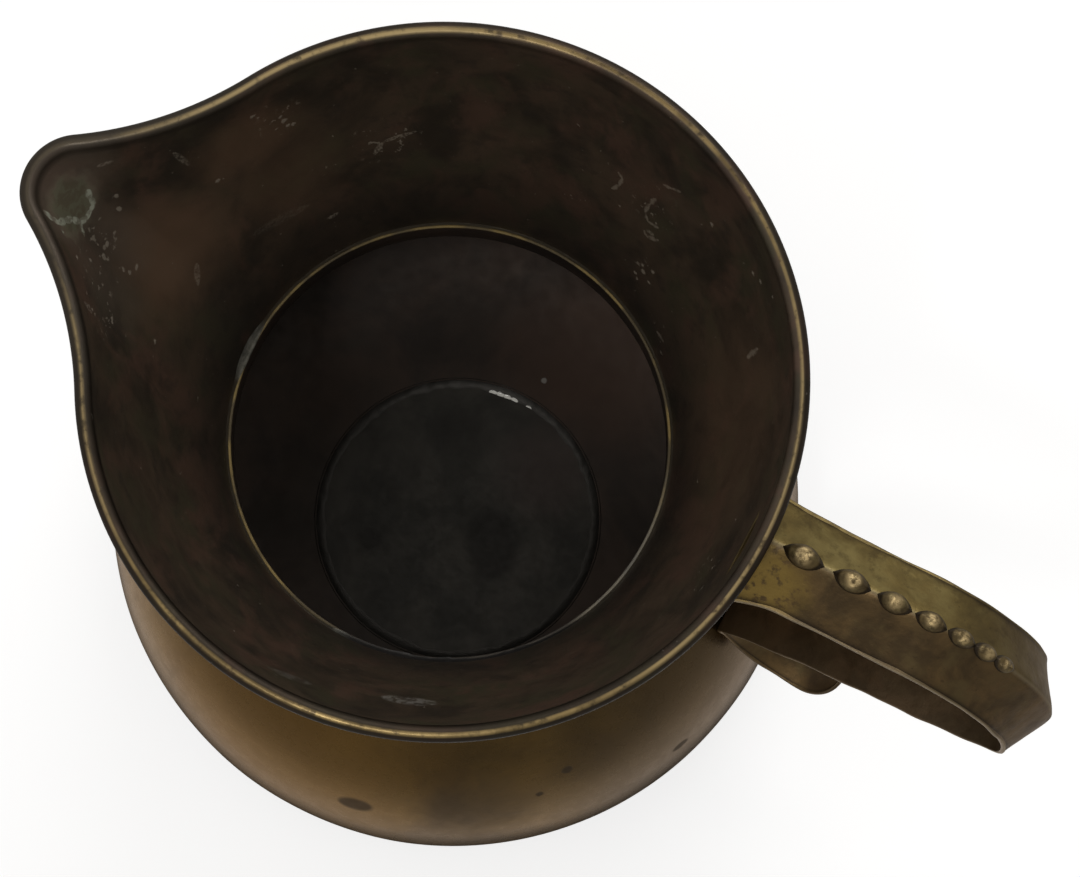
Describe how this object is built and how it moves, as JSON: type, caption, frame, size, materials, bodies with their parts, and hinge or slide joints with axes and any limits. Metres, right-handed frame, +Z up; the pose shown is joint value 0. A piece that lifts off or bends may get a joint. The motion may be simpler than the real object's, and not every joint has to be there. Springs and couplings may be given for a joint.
{
  "type": "hot water can",
  "caption": "Round-bellied brass hot water can with a narrow neck, an open flared collar with a spout, a wired rim, and a ridged strap handle set with graduated beads.",
  "frame": {"origin": "middle of the base plate's underside, on the can's axis", "axes": "+Z up along the can's axis, +X towards the handle, -X towards the spout, +Y completes a right-handed frame"},
  "size_m": [0.2816, 0.2034, 0.221],
  "materials": {
    "raised_brass": "aged, brown patina over a burnished belly",
    "collar_brass": "aged, dark brown patina, brighter where the rim is worn",
    "handle_brass": "aged, olive patina, worn edges",
    "bead_brass": "cast, rubbed bright on top",
    "tinned_base": "tinned inside, dull and mottled",
    "rim_wire_iron": "plain wire",
    "solder": "dull grey tin-lead solder"
  },
  "bodies": {
    "root": {"body": "raised_brass", "base": "tinned_base", "base_solder": "solder", "collar": "collar_brass", "rim_wire": "rim_wire_iron", "neck_solder": "solder", "handle_strap": "handle_brass", "handle_backing": "handle_brass", "bead_1": "bead_brass", "bead_2": "bead_brass", "bead_3": "bead_brass", "bead_4": "bead_brass", "bead_5": "bead_brass", "bead_6": "bead_brass", "bead_7": "bead_brass"}
  },
  "joints": []
}
